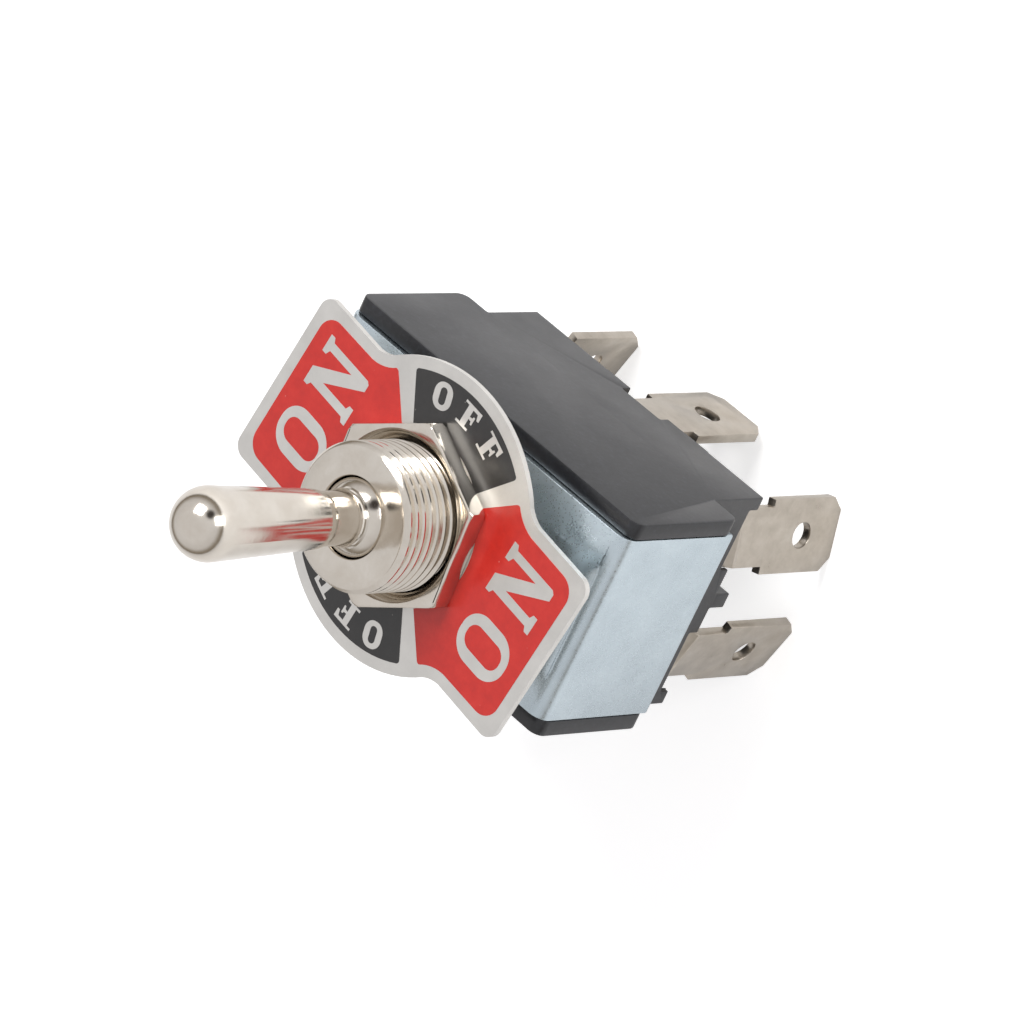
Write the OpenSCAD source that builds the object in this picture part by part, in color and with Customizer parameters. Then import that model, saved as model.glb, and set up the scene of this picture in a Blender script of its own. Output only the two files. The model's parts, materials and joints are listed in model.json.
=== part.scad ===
// Panel toggle switch, double pole, ON-OFF-ON, with six quick-connect terminals.
// Millimetres. The Z axis runs up the lever and the bushing, X is the way the lever
// swings, and the tips of the terminals stand on Z = 0.

/* [Housing] */
// Width over the two side flanges, along Y
housing_w = 19.6; // [19:0.1:21]
// Length of the front section and of its flanges, along X
front_len = 33.5; // [33:0.1:36]
// Length of the rear section, along X
rear_len = 27.6; // [27.4:0.1:29]
// Height of the flanges
front_h = 12.4; // [12:0.1:14]
// Height of the rear section below the flanges
rear_h = 6.1; // [6:0.1:7]
// Thickness of each flange
flange_t = 1.4; // [1.2:0.05:1.6]
// Rounding of the flange corners
flange_r = 1; // [0.5:0.1:1.5]
// Height of the rib between the poles, below the rear face
rib_h = 1.7; // [1:0.1:2.5]

/* [Bracket] */
// Thickness of the bracket's sheet
bracket_t = 1.2; // [1:0.05:1.3]
// How far the bracket's front stands above the flanges
bracket_proud = 0.5; // [0.2:0.1:0.8]
// Height of the pressed step around the bushing
step_h = 0.4; // [0.2:0.05:0.5]
// Outer radius of the bracket's bends
bend_r = 1.3; // [1.25:0.05:1.6]

/* [Bushing and nuts] */
// Thread diameter of the bushing (15/32 inch)
thread_d = 11.9; // [11.5:0.05:12]
// Pitch of the thread (32 turns per inch)
thread_pitch = 0.794; // [0.7:0.001:0.9]
// Length of the bushing in front of the bracket
bushing_len = 10.4; // [10:0.1:12]
// Diameter of the bushing's mouth
mouth_d = 6.5; // [6.2:0.1:7]
// Width of the nuts across their flats (9/16 inch)
nut_af = 14.3; // [14:0.1:15]
// Thickness of each nut
nut_t = 1.8; // [1.6:0.1:2]
// Distance from the pressed step to the back of the indicator plate
plate_gap = 3.4; // [3.2:0.1:3.6]

/* [Indicator plate] */
// Length of the plate
plate_len = 34.9; // [33:0.1:36]
// Width of the plate's two ends
plate_end_w = 16; // [15:0.1:17]
// Diameter of the plate's round middle
plate_d = 25.1; // [24.6:0.1:26]
// Thickness of the plate
plate_t = 0.5; // [0.4:0.05:0.8]
// Radius between the round middle and the ends
plate_blend_r = 3; // [2:0.1:4]
// Angle at which the plate sits about the bushing
plate_turn = -7.9; // [-10:0.1:10]
// How far the plate has slipped along its length, in the play of its hole
plate_slip = 0.15; // [0:0.05:0.2]

/* [Lever] */
// Height of the lever's tip above the bushing
lever_out = 18.9; // [18:0.1:24]
// Diameter of the lever near its tip
tip_d = 5.86; // [5.4:0.02:6.4]
// Diameter of the lever where the bat ends
bat_d = 4.72; // [4.6:0.02:5]
// Diameter of the lever's neck
neck_d = 4.3; // [4:0.1:4.4]
// Diameter of the ball that the lever turns on, in the bushing's mouth
ball_d = 7.5; // [7:0.1:7.7]
// Swing of the lever to each side, in degrees
swing = 12; // [8:1:12]

/* [Terminals] */
// Reach of the terminals below the rear face
tab_reach = 12.5; // [12:0.1:14]
// Width of a terminal blade
tab_w = 6.3; // [6:0.1:6.4]
// Thickness of a terminal blade
tab_t = 0.8; // [0.7:0.05:0.85]
// Length of the wide part of the blade
tab_len = 8.75; // [8:0.05:9]
// Width of the neck between blade and housing
tab_neck_w = 5; // [4.6:0.1:5.2]
// Diameter of the hole in the blade
tab_hole_d = 2.2; // [1.6:0.1:2.4]
// Twist of the four end terminals that locks them in the housing, in degrees
tab_twist = 15; // [0:1:16]
// Distance from the middle to the end terminals, along X
end_x = 12.9; // [12.8:0.05:12.95]
// Distance from the middle to the end terminals, along Y
end_y = 5.5; // [5.3:0.1:5.6]
// Distance from the middle to the common terminals, along Y
common_y = 8.25; // [8.1:0.05:8.3]

/* [Hidden] */
$fn = 48;
cut = 1;
fit = 0.02;
lap = 0.2;

// Depth of the lever's pin below the bushing's face
pivot_depth = 2.3;

// Levels, from the tips of the terminals upwards
z_rear = tab_reach;
z_flange_rear = z_rear + rear_h;
z_flange_front = z_flange_rear + front_h;
z_bracket = z_flange_front + bracket_proud;
z_seat = z_bracket + step_h;
z_face = z_seat + bushing_len;
z_tip = z_face + lever_out;
pivot_z = z_face - pivot_depth;

// Housing
bracket_gap = 0.05;
slot_gap = 0.1;
bay_w = housing_w - 2 * flange_t;
wall_end = front_len / 2 - bracket_t - bracket_gap;
fold_gap = 0.05;
fold_drop = 0.3;
fold_z = z_flange_rear - fold_drop;
lip_gap = 0.35;
fold_reach = (front_len - rear_len) / 2 - bracket_t - lip_gap;
fold_r = 0.4;
ledge_z = fold_z + bracket_t + fold_gap;
sheet_t = 0.6;
sheet_slot_l = 9;
sheet_slot_w = 4.2;
z_rim = z_bracket - bracket_t - sheet_t;
rear_recess = 1;
rear_wall_t = 1.8;
z_floor = z_rear + rear_recess + rear_wall_t;
end_wall_t = 0.9;
side_wall_t = 2.2;
room_x = rear_len / 2 - end_wall_t;
room_y = housing_w / 2 - side_wall_t;
pad_t = tab_t;
pocket_h = pad_t + slot_gap;
slot_w = tab_neck_w + 2 * slot_gap;
wall_mid_z = z_floor - rear_wall_t / 2;
divider_t = 1;
divider_h = 5;
lip_x = end_x + tab_t / 2 + slot_gap / 2;
lip_y = common_y + tab_t / 2 + slot_gap / 2;
end_notch_w = 5.6;
end_notch_off = 0.3;
side_notch_w = 4.6;
rib_t = 1.34;
post_l = 2.9;
post_w = 1.4;
post_x = 4.75;
post_h = 1.6;
post_y = bay_w / 2;

// Bracket
step_l = 31.2;
step_w = 11.9;
step_r = 1.4;
step_slope = 0.7;
spigot_d = 10;
step_inset = 0.3;
spigot_gap = 0.05;
stake_d = 10.9;

// Bushing and what sits on it. The nuts, and the thread they are screwed on, are
// drawn at the thread's pitch diameter; the free thread is drawn at its crests.
pitch_d = thread_d - 0.6495 * thread_pitch;
chamfer = 0.35;
socket_gap = 0.1;
socket_r = ball_d / 2 + socket_gap;
bore_clear = 0.55;
bore_d = ball_d + 2 * bore_clear;
cone_h = 4.4;
thread_gap = 0.05;
nut_corner_d = 16;
nut_corner_h = 0.3;
nut_mouth_d = 13.6;
nut_mouth_h = 1.1;
nut_turn = 33;
rear_nut_turn = 21;
washer_t = 0.6;
washer_od = 16.2;
washer_teeth = 12;
washer_notch_l = 1.2;
washer_notch_w = 1.5;
washer_notch_off = 0.4;
z_plate = z_seat + plate_gap;
z_nut = z_plate + plate_t;
z_washer = z_plate - washer_t;
z_rear_nut = z_washer - nut_t;
plate_hole_gap = 0.25;
plate_hole_d = thread_d + 2 * plate_hole_gap;
plate_corner_r = 1.2;

// Lever and what it drives
pin_d = 1.2;
pin_len = 9.8;
pin_groove_l = 10;
pin_run = 0.05;
shaft_d = 3.4;
root_r = 1;
root_lap = 0.02;
bat_h = 4.6;
groove_clear = 1;
shaft_edge = 0.3;
bat_step_h = 0.9;
bat_edge_h = 0.5;
bat_edge = 0.07;
pole_y = 4.9;
block_l = 6;
block_side_gap = 0.8;
block_w = 2 * room_y - 2 * block_side_gap;
block_h = 6;
block_clear = 1.7;
block_z1 = z_rim - block_clear;
block_z0 = block_z1 - block_h;
shoulder_h = 1;
block_shoulder_z = block_z1 - shoulder_h;
tang_up = 2.5;
tang_z = block_z0 + tang_up;
block_neck_w = 7;
plunger_tip_d = 2.4;
plunger_d = 2.8;
plunger_bore_d = 3;
plunger_grip = 1.6;
plunger_top = block_z0 + plunger_grip;
bore_roof = 0.8;
bore_top = block_shoulder_z - bore_roof;
spring_gap = 0.05;
spring_wire = 0.3;
spring_turns = 4;

// Rockers and contacts
hinge_h = 2.3;
hinge_z = z_floor + hinge_h;
rocker_t = 0.8;
rocker_w = 3.6;
rocker_gap = 0.15;
rocker_ratio = 0.5;
arm_start = 4.6;
arm_lap = 0.15;
arm_end = 11;
button_x = 9.5;
button_d = 2.8;
button_h = 0.8;
closed_gap = 0.08;
pad_w = 2 * (room_y - end_y) - slot_gap;
pad_end = 7.6;
fulcrum_d = 0.8;
fulcrum_gap = 0.05;
ear_l = 1.6;
ear_t = 0.5;
ear_gap = 0.3;
ear_h = 3;
common_pad_w = 5;
tab_bevel = 1.1;
crease_up = 0.5;
untwist_h = 0.7;

// The plunger's ball swings about the pivot while the rocker turns half as far, so in
// the rocker's own frame the ball's centre runs on a circle through three known places.
ball_z = hinge_z + rocker_t + rocker_gap + plunger_tip_d / 2;
ball_reach = pivot_z - ball_z;
end_ball_x = ball_reach * sin(swing);
end_ball_z = pivot_z - ball_reach * cos(swing) - hinge_z;
rock = swing * rocker_ratio;
path_x = end_ball_x * cos(rock) - end_ball_z * sin(rock);
path_z = end_ball_x * sin(rock) + end_ball_z * cos(rock);
path_rise = path_z - (ball_z - hinge_z);
path_r = (pow(path_x, 2) + pow(path_rise, 2)) / (2 * path_rise);
track_r = path_r + plunger_tip_d / 2 + rocker_gap;
track_z = ball_z + path_r;
arm_z = track_z - sqrt(pow(track_r + rocker_t, 2) - pow(arm_start, 2));
fixed_top = z_floor + pad_t + button_h;
button_drop = (button_x + button_d / 2) * sin(rock);
arm_button_z = hinge_z + (fixed_top + closed_gap - hinge_z + button_drop) / cos(rock);

// Shared shapes

// A box centred on X and Y, from height z0 to z1
module block(l, w, z0, z1) {
    translate([-l / 2, -w / 2, z0])
        cube([l, w, z1 - z0]);
}

// A round bar along Z, from height z0 to z1
module post(d, z0, z1) {
    translate([0, 0, z0])
        cylinder(d = d, h = z1 - z0);
}

// A round bar along Y, centred on the origin
module bar_y(d, l) {
    rotate([90, 0, 0])
        cylinder(d = d, h = l, center = true);
}

// A flat rectangle with rounded corners, centred on the origin
module rounded_rect(l, w, r) {
    square([l - 2 * r, w], center = true);
    square([l, w - 2 * r], center = true);
    for (sx = [-1, 1], sy = [-1, 1])
        translate([sx * (l / 2 - r), sy * (w / 2 - r)])
            circle(r);
}

// An outline drawn in X and Z, extruded along Y between y0 and y1
module along_y(y0, y1) {
    translate([0, y1, 0])
        rotate([90, 0, 0])
            linear_extrude(y1 - y0)
                children();
}

// Housing

module flange(y0) {
    along_y(y0, y0 + flange_t)
        translate([0, (z_flange_rear + z_flange_front) / 2])
            rounded_rect(front_len, front_h, flange_r);
}

module rear_notches() {
    for (s = [-1, 1]) {
        for (t = [-1, 1])
            translate([s * (lip_x + cut), t * (end_y + end_notch_off), 0])
                block(2 * cut, end_notch_w, z_rear - cut, z_rear + rear_recess);
        translate([0, s * (lip_y + cut), 0])
            block(side_notch_w, 2 * cut, z_rear - cut, z_rear + rear_recess);
    }
}

module terminal_slots() {
    for (s = [-1, 1]) {
        for (t = [-1, 1])
            translate([s * end_x, t * end_y, 0])
                block(tab_t + slot_gap, slot_w, z_rear, z_floor + pocket_h);
        translate([0, s * common_y, 0])
            block(slot_w, tab_t + slot_gap, z_rear, z_floor + pocket_h);
        translate([0, s * room_y, 0])
            block(slot_w, 2 * (common_y - room_y), z_floor, z_floor + pocket_h);
    }
}

module housing() {
    color("#2B292B") {
        difference() {
            union() {
                flange(bay_w / 2);
                flange(-housing_w / 2);
                block(2 * wall_end, bay_w + flange_t, ledge_z, z_rim);
                block(rear_len, housing_w, z_rear, z_flange_rear + flange_r);
                block(rear_len, bay_w + flange_t, z_flange_rear, z_rim);
            }
            block(2 * room_x, 2 * room_y, z_floor, z_rim + cut);
            block(2 * lip_x, 2 * lip_y, z_rear - cut, z_rear + rear_recess);
            rear_notches();
            terminal_slots();
        }
        block(rear_len, rib_t, z_rear - rib_h, wall_mid_z);
        for (sx = [-1, 1], sy = [-1, 1])
            translate([sx * post_x, sy * post_y, 0])
                block(post_l, post_w, z_rear - post_h, wall_mid_z);
        block(2 * (room_x + lap), divider_t, wall_mid_z, z_floor + divider_h);
    }
}

// Bracket

// The U section, with its two legs folded in under the housing
module bracket_section() {
    difference() {
        union() {
            translate([0, z_bracket - 2 * bend_r])
                rounded_rect(front_len, 4 * bend_r, bend_r);
            translate([0, (fold_z + z_bracket - bend_r) / 2])
                rounded_rect(front_len, z_bracket - bend_r - fold_z, fold_r);
        }
        translate([0, (fold_z + z_bracket) / 2])
            square([front_len - 2 * bracket_t, z_bracket - fold_z - 2 * bracket_t], center = true);
        translate([0, fold_z])
            square([front_len - 2 * bracket_t - 2 * fold_reach, 4 * bracket_t], center = true);
    }
}

// The pressed step: sloped all round, with rounded corners
module pressed_step() {
    hull() {
        translate([0, 0, z_bracket - fit])
            linear_extrude(fit)
                rounded_rect(step_l, step_w, step_r, $fn = 32);
        translate([0, 0, z_seat - fit])
            linear_extrude(fit)
                rounded_rect(step_l - 2 * step_slope, step_w - 2 * step_slope, step_r, $fn = 32);
    }
}

module bracket() {
    color("#C3CDD3")
        difference() {
            union() {
                along_y(-bay_w / 2 + bracket_gap, bay_w / 2 - bracket_gap)
                    bracket_section();
                pressed_step();
            }
            translate([0, 0, z_bracket - bracket_t])
                linear_extrude(step_h)
                    rounded_rect(step_l - 2 * step_inset, step_w - 2 * step_inset, step_r - step_inset);
            post(spigot_d + 2 * spigot_gap, z_bracket - bracket_t - cut, z_seat + cut);
        }
}

module fibre_sheet() {
    color("#5B3A2C")
        difference() {
            block(2 * wall_end, bay_w - 2 * bracket_gap, z_rim, z_rim + sheet_t);
            block(sheet_slot_l, sheet_slot_w, z_rim - cut, z_rim + sheet_t + cut);
        }
}

// Bushing, nuts, washer and plate

module bushing() {
    r = thread_d / 2;
    z_free = z_nut + nut_t;
    spigot_z = z_bracket - bracket_t + step_h;
    color("#CFC9C0")
        difference() {
            rotate_extrude()
                difference() {
                    polygon([
                        [bore_d / 2, z_bracket - bracket_t],
                        [stake_d / 2, z_bracket - bracket_t],
                        [spigot_d / 2, spigot_z],
                        [spigot_d / 2, z_seat],
                        [pitch_d / 2, z_seat],
                        [pitch_d / 2, z_free],
                        [r, z_free],
                        [r, z_face - chamfer],
                        [r - chamfer, z_face],
                        [mouth_d / 2, z_face],
                        [mouth_d / 2, pivot_z],
                        [socket_r, pivot_z],
                        [bore_d / 2, pivot_z - cone_h]
                    ]);
                    half_disc(socket_r, pivot_z, z_face);
                }
            translate([0, 0, pivot_z])
                bar_y(pin_d + 2 * pin_run, pin_groove_l);
            block(pin_d + 2 * pin_run, pin_groove_l, z_seat + groove_clear, pivot_z);
        }
}

module hex_nut(z0, turn) {
    translate([0, 0, z0])
        rotate([0, 0, turn])
            difference() {
                intersection() {
                    cylinder(d = nut_af / cos(30), h = nut_t, $fn = 6);
                    rotate_extrude()
                        polygon([
                            [0, 0], [nut_corner_d / 2, 0],
                            [nut_corner_d / 2 + nut_corner_h, nut_corner_h],
                            [nut_corner_d / 2 + nut_corner_h, nut_t - nut_corner_h],
                            [nut_corner_d / 2, nut_t], [0, nut_t]
                        ]);
                }
                post(pitch_d + 2 * thread_gap, -cut, nut_t + cut);
                translate([0, 0, nut_t - nut_mouth_h])
                    cylinder(d1 = pitch_d, d2 = nut_mouth_d, h = nut_mouth_h + fit);
            }
}

module hex_nuts() {
    color("#CFC9C0") {
        hex_nut(z_nut, nut_turn);
        hex_nut(z_rear_nut, rear_nut_turn);
    }
}

module lock_washer() {
    bore = thread_d + 2 * thread_gap;
    color("#B9BDC0")
        difference() {
            post(washer_od, z_washer, z_plate);
            post(bore, z_washer - cut, z_plate + cut);
            for (i = [0:washer_teeth - 1])
                rotate([0, 0, i * 360 / washer_teeth])
                    translate([bore / 2 + washer_notch_off, 0, 0])
                        block(washer_notch_l, washer_notch_w, z_washer - cut, z_plate + cut);
        }
}

// The web that fills one corner between the round middle and a straight end,
// on side sx along X and side sy along Y
module plate_web(sx, sy) {
    reach = plate_d / 2 + plate_blend_r;
    by = plate_end_w / 2 + plate_blend_r;
    bx = sqrt(pow(reach, 2) - pow(by, 2));
    difference() {
        polygon([[0, 0], [sx * bx, sy * by], [sx * bx, sy * (by - 2 * plate_blend_r)]]);
        translate([sx * bx, sy * by])
            circle(plate_blend_r + fit);
    }
}

module indicator_plate() {
    color("#D6D4D0")
        translate([0, 0, z_plate])
            rotate([0, 0, plate_turn])
                translate([plate_slip, 0, 0])
                    difference() {
                        union() {
                            linear_extrude(plate_t)
                                rounded_rect(plate_len, plate_end_w, plate_corner_r);
                            post(plate_d, 0, plate_t);
                            for (sx = [-1, 1], sy = [-1, 1])
                                linear_extrude(plate_t)
                                    plate_web(sx, sy);
                        }
                        post(plate_hole_d, -cut, plate_t + cut);
                    }
}

// Lever, pin, drive block, plungers and springs

// The right half of a disc centred at height z, cut off above z_top
module half_disc(r, z, z_top) {
    intersection() {
        translate([0, z])
            circle(r);
        translate([0, z - r])
            square([r, z_top - z + r]);
    }
}

module lever() {
    tip_r = tip_d / 2;
    tip_z = z_tip - tip_r;
    bat_z = z_face + bat_h;
    neck_r = neck_d / 2;
    root_rise = sqrt(pow(ball_d / 2 + root_r, 2) - pow(neck_r + root_r, 2));
    root_z = pivot_z + root_rise;
    root_turn = atan2(root_rise, neck_r + root_r);
    root_foot = ball_d / 2 - root_lap;
    color("#CFC9C0")
        difference() {
            rotate_extrude()
                union() {
                    half_disc(tip_r, tip_z, z_tip);
                    half_disc(ball_d / 2, pivot_z, pivot_z + ball_d / 2);
                    polygon([
                        [0, tang_z],
                        [shaft_d / 2 - shaft_edge, tang_z],
                        [shaft_d / 2, tang_z + shaft_edge],
                        [shaft_d / 2, pivot_z],
                        [root_foot * cos(root_turn), pivot_z + root_foot * sin(root_turn)],
                        for (i = [5:-1:0])
                            [
                                neck_r + root_r - root_r * cos(i * root_turn / 6),
                                root_z - root_r * sin(i * root_turn / 6)
                            ],
                        [neck_r, bat_z - bat_step_h],
                        [bat_d / 2 - bat_edge, bat_z - bat_edge_h],
                        [bat_d / 2, bat_z],
                        [tip_r, tip_z],
                        [0, tip_z]
                    ]);
                }
            translate([0, 0, pivot_z])
                bar_y(pin_d + 2 * fit, ball_d + cut);
        }
}

module pivot_pin() {
    color("#A9ADB0")
        translate([0, 0, pivot_z])
            bar_y(pin_d, pin_len);
}

module drive_block() {
    color("#D8D2C2")
        difference() {
            union() {
                block(block_l, block_w, block_z0, block_shoulder_z);
                block(block_l, block_neck_w, block_z0, block_z1);
            }
            post(shaft_d + 2 * fit, tang_z - fit, block_z1 + cut);
            for (s = [-1, 1])
                translate([0, s * pole_y, 0])
                    post(plunger_bore_d, block_z0 - cut, bore_top);
        }
}

module plunger(s) {
    color("#C9BFA5")
        translate([0, s * pole_y, 0])
            rotate_extrude()
                union() {
                    half_disc(plunger_tip_d / 2, ball_z, ball_z);
                    translate([0, ball_z])
                        square([plunger_tip_d / 2, plunger_top - ball_z]);
                    translate([0, block_z0])
                        square([plunger_d / 2, plunger_top - block_z0]);
                }
}

// Flat-wire compression spring: rings tied by bridges on alternate sides
module spring(s) {
    bottom = plunger_top + spring_gap;
    top = bore_top - spring_gap;
    pitch = (top - bottom - spring_wire) / spring_turns;
    color("#9AA0A4")
        translate([0, s * pole_y, bottom]) {
            for (i = [0:spring_turns])
                translate([0, 0, i * pitch])
                    difference() {
                        cylinder(d = plunger_d, h = spring_wire);
                        translate([0, 0, -cut])
                            cylinder(d = plunger_d - 4 * spring_wire, h = spring_wire + 2 * cut);
                    }
            for (i = [0:spring_turns - 1])
                translate([(i % 2 == 0 ? 1 : -1) * (plunger_d / 2 - spring_wire), 0, i * pitch])
                    block(spring_wire, 2 * spring_wire, spring_wire / 2, pitch + spring_wire / 2);
        }
}

// Rockers, buttons and terminals

module rocker(s) {
    arm_l = arm_end - arm_start + arm_lap;
    color("#B98A4B")
        translate([0, s * pole_y, 0]) {
            difference() {
                along_y(-rocker_w / 2, rocker_w / 2)
                    intersection() {
                        translate([0, track_z])
                            difference() {
                                circle(track_r + rocker_t);
                                circle(track_r);
                            }
                        translate([-arm_start - rocker_t / 2, hinge_z - cut])
                            square([2 * arm_start + rocker_t, 4 * rocker_t + cut]);
                    }
                translate([0, 0, hinge_z])
                    bar_y(fulcrum_d + 2 * fulcrum_gap, rocker_w + cut);
            }
            for (t = [-1, 1])
                translate([t * (arm_end - arm_l / 2), 0, 0])
                    block(arm_l, rocker_w, arm_z, arm_z + rocker_t);
        }
}

module rocker_buttons(s) {
    color("#DADCDC")
        for (t = [-1, 1])
            translate([t * button_x, s * pole_y, 0])
                post(button_d, arm_button_z, arm_z);
}

module fixed_buttons(s) {
    color("#DADCDC")
        for (t = [-1, 1])
            translate([t * button_x, s * pole_y, 0])
                post(button_d, z_floor + pad_t, fixed_top);
}

// The blade of a terminal, hanging from the rear wall with its width along X
module blade(twist) {
    crease_z = z_rear + crease_up;
    untwist_z = crease_z - untwist_h;
    rotate([0, 0, twist])
        difference() {
            translate([0, tab_t / 2, 0])
                rotate([90, 0, 0])
                    linear_extrude(tab_t) {
                        polygon([
                            [-tab_w / 2 + tab_bevel, 0], [tab_w / 2 - tab_bevel, 0],
                            [tab_w / 2, tab_bevel], [tab_w / 2, tab_len],
                            [-tab_w / 2, tab_len], [-tab_w / 2, tab_bevel]
                        ]);
                        translate([-tab_neck_w / 2, tab_len - lap])
                            square([tab_neck_w, untwist_z - tab_len + lap]);
                    }
            translate([0, 0, tab_len / 2])
                bar_y(tab_hole_d, tab_t + cut);
        }
    hull() {
        rotate([0, 0, twist])
            block(tab_neck_w, tab_t, untwist_z - lap, untwist_z);
        block(tab_neck_w, tab_t, crease_z, crease_z + lap);
    }
    block(tab_neck_w, tab_t, crease_z, z_floor + pad_t);
}

module common_terminal(s) {
    saddle_z = z_floor + pad_t;
    ear_y = rocker_w / 2 + ear_gap + ear_t / 2;
    pad_y0 = pole_y - ear_y - ear_t / 2;
    pad_y1 = common_y + tab_t / 2;
    color("#C9C1B8") {
        translate([0, s * common_y, 0])
            blade(0);
        translate([0, s * (pad_y0 + pad_y1) / 2, 0])
            block(common_pad_w, pad_y1 - pad_y0, z_floor, saddle_z);
        translate([0, s * pole_y, 0]) {
            block(fulcrum_d, rocker_w, saddle_z - fit, hinge_z);
            translate([0, 0, hinge_z])
                bar_y(fulcrum_d, rocker_w);
            for (t = [-1, 1])
                translate([0, t * ear_y, 0])
                    block(ear_l, ear_t, saddle_z - fit, saddle_z + ear_h);
        }
    }
}

// End terminal at side t along X (-1 or 1) of the pole at side s along Y
module end_terminal(t, s) {
    color("#C9C1B8") {
        translate([t * end_x, s * end_y, 0])
            rotate([0, 0, 90])
                blade(t * s * tab_twist);
        translate([t * (end_x + tab_t / 2 + pad_end) / 2, s * end_y, 0])
            block(end_x + tab_t / 2 - pad_end, pad_w, z_floor, z_floor + pad_t);
    }
}

module plunger_a() { plunger(1); }
module plunger_b() { plunger(-1); }
module spring_a() { spring(1); }
module spring_b() { spring(-1); }
module rocker_a() { rocker(1); }
module rocker_b() { rocker(-1); }
module rocker_buttons_a() { rocker_buttons(1); }
module rocker_buttons_b() { rocker_buttons(-1); }
module fixed_buttons_a() { fixed_buttons(1); }
module fixed_buttons_b() { fixed_buttons(-1); }
module common_terminal_a() { common_terminal(1); }
module common_terminal_b() { common_terminal(-1); }
module left_terminal_a() { end_terminal(-1, 1); }
module right_terminal_a() { end_terminal(1, 1); }
module left_terminal_b() { end_terminal(-1, -1); }
module right_terminal_b() { end_terminal(1, -1); }

housing();
bracket();
fibre_sheet();
bushing();
lever();
pivot_pin();
hex_nuts();
lock_washer();
indicator_plate();
drive_block();
plunger_a();
plunger_b();
spring_a();
spring_b();
rocker_a();
rocker_b();
rocker_buttons_a();
rocker_buttons_b();
fixed_buttons_a();
fixed_buttons_b();
common_terminal_a();
common_terminal_b();
left_terminal_a();
right_terminal_a();
left_terminal_b();
right_terminal_b();
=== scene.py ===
"""Panel toggle switch, ON-OFF-ON: looks, light and camera.

Lengths in this file are millimetres until mm() turns them to metres. The frame is
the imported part's own: Z runs up the bushing and the lever, X is the way the lever
swings, and the tips of the terminals stand on Z = 0.
"""

import json
import math

import bmesh
import bpy
from mathutils import Matrix, Vector

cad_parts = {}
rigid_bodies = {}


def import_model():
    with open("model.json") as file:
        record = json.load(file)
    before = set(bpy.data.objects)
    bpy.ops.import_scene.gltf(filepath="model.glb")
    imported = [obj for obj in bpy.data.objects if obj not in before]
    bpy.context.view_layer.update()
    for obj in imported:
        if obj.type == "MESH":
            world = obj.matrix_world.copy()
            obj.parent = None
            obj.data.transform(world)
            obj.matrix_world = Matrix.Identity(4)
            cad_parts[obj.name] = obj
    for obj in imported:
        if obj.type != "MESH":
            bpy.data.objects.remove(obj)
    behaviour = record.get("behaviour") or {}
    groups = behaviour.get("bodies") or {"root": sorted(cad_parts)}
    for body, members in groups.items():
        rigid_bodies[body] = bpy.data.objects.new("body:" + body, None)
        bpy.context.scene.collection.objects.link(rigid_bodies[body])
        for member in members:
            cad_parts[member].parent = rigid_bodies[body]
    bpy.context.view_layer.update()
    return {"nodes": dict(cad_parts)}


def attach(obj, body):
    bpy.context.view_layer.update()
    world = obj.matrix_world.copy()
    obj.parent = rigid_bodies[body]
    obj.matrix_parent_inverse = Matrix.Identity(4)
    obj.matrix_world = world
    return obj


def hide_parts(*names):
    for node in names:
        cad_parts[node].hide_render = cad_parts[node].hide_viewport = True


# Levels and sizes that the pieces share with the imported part
SEAT = 31.9
PLATE_FRONT = 35.8
FACE = 42.3
THREAD_R = 5.95
THREAD_PITCH = 0.794
PIVOT = 40.0
PLATE_TURN = -7.9
PLATE_SLIP = 0.15

# The print: its bare border, the bare spokes (degrees from the plate's ends) and its build-up
BORDER = 0.98
RED_EDGE = 45.5
BLACK_EDGE = 55
INK_BUILD = 0.025
LETTER_BUILD = 0.02


def mm(*lengths):
    """Millimetres to metres, one value or a vector."""
    scaled = [length * 0.001 for length in lengths]
    return scaled[0] if len(scaled) == 1 else Vector(scaled)


def colour(code):
    """An sRGB hex value as linear RGBA."""
    channels = [int(code[i:i + 2], 16) / 255 for i in (1, 3, 5)]
    linear = [c / 12.92 if c <= 0.04045 else ((c + 0.055) / 1.055) ** 2.4 for c in channels]
    return (*linear, 1)


def grain(size):
    """Texture scale at which one cell is `size` millimetres."""
    return 1000 / size


def node(tree, kind, inputs=None, **settings):
    """Adds a node. `inputs` gives sockets, by name or number, a value or a link."""
    made = tree.nodes.new(kind)
    for name, value in settings.items():
        setattr(made, name, value)
    for name, value in (inputs or {}).items():
        if isinstance(value, bpy.types.NodeSocket):
            tree.links.new(value, made.inputs[name])
        else:
            made.inputs[name].default_value = value
    return made


def ramp(tree, factor, stops):
    """A colour ramp over a factor, with (position, hex) stops."""
    made = node(tree, "ShaderNodeValToRGB", {"Fac": factor})
    elements = made.color_ramp.elements
    while len(elements) < len(stops):
        elements.new(0.5)
    for element, (place, code) in zip(elements, stops):
        element.position = place
        element.color = colour(code)
    return made.outputs["Color"]


def finish(name, inputs):
    """A material with one Principled shader; returns it with its tree and shader."""
    made = bpy.data.materials.new(name)
    made.use_nodes = True
    tree = made.node_tree
    tree.nodes.clear()
    shader = node(tree, "ShaderNodeBsdfPrincipled", inputs)
    node(tree, "ShaderNodeOutputMaterial", {"Surface": shader.outputs["BSDF"]})
    return made, tree, shader


def spread(tree, factor, low, high):
    """Maps a factor from 0..1 to low..high."""
    return node(tree, "ShaderNodeMapRange",
                {"Value": factor, "To Min": low, "To Max": high}).outputs["Result"]


# Materials


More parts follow.
